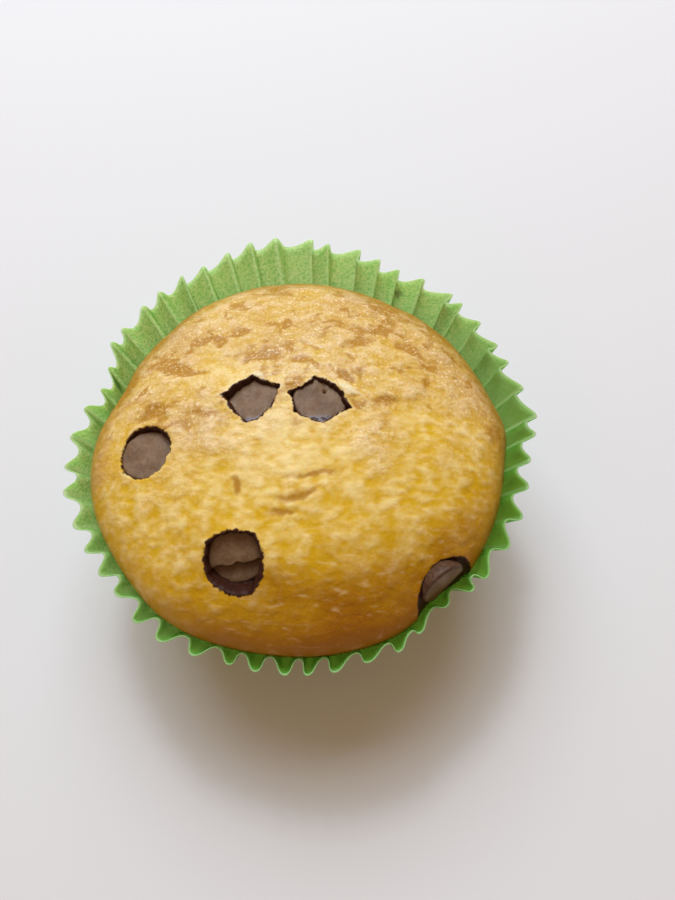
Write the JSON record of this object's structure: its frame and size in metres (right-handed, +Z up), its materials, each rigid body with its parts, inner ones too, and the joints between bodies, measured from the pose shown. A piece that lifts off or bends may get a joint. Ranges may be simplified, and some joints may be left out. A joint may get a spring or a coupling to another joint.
{
  "type": "muffin in a baking case",
  "caption": "Domed golden muffin with dark chocolate chips in its crust, standing in a fluted green paper baking case.",
  "frame": {"origin": "middle of the paper case's flat base, on the surface that the muffin stands on", "axes": "+Z up, +Y to the back, where the rim flares outward, +X to the right"},
  "size_m": [0.0765, 0.0763, 0.0385],
  "materials": {
    "baking_paper": "matt green greaseproof paper with a fine fibre mottle",
    "crumb": "baked golden crust, slightly moist, with pale crumbs and darker hollows",
    "chocolate": "matt milk chocolate with a dusty bloom and a darker edge"
  },
  "bodies": {
    "root": {"paper_case": "baking_paper", "crumb": "crumb", "chip_left": "chocolate", "chip_back_left": "chocolate", "chip_back_right": "chocolate", "chip_front_left": "chocolate", "chip_edge_right": "chocolate"}
  },
  "joints": []
}
